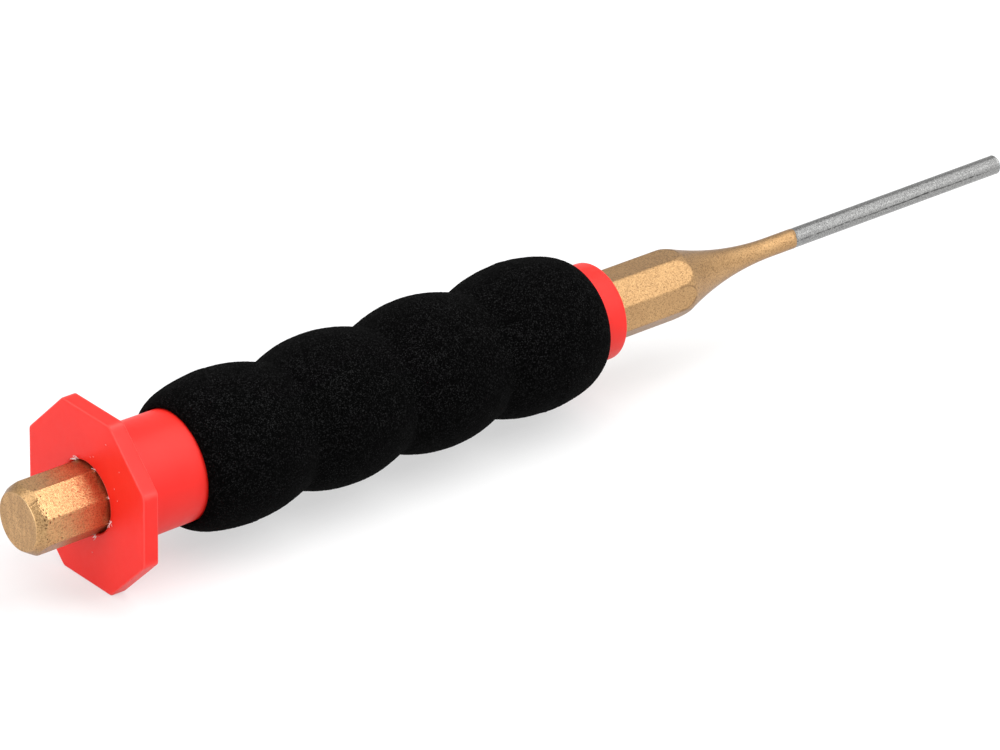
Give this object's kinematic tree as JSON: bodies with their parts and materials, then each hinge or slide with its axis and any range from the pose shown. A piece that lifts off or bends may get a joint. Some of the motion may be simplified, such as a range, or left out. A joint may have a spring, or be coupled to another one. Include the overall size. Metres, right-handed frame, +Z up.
{
  "type": "pin punch",
  "caption": "Pin punch: lacquered steel with an octagonal shank and a slender parallel pin, a moulded octagonal hand guard on a sleeve, and a bulged foam grip.",
  "frame": {"origin": "middle of the tool's length, on the plane of the guard's lower flat, under the tool's axis", "axes": "+X along the tool from the striking face to the pin's tip, +Z up through a flat of the shank, +Y across"},
  "size_m": [0.185, 0.0264, 0.0264],
  "materials": {
    "lacquered_steel": "bronze-gold metallic lacquer, with the working end of the pin bare ground steel",
    "red_plastic": "semi-gloss moulded plastic",
    "black_foam": "matt cellular foam rubber"
  },
  "bodies": {
    "punch": {"punch": "lacquered_steel"},
    "guard_sleeve": {"guard_sleeve": "red_plastic"},
    "foam_grip": {"foam_grip": "black_foam"}
  },
  "joints": [
    {"name": "handle_slide", "type": "slide", "parent": "punch", "child": "guard_sleeve", "axis": [1, 0, 0], "range_m": [-0.01, 0.012]},
    {"name": "grip_slide", "type": "slide", "parent": "guard_sleeve", "child": "foam_grip", "axis": [1, 0, 0], "range_m": [-0.011, 0.0035]}
  ]
}
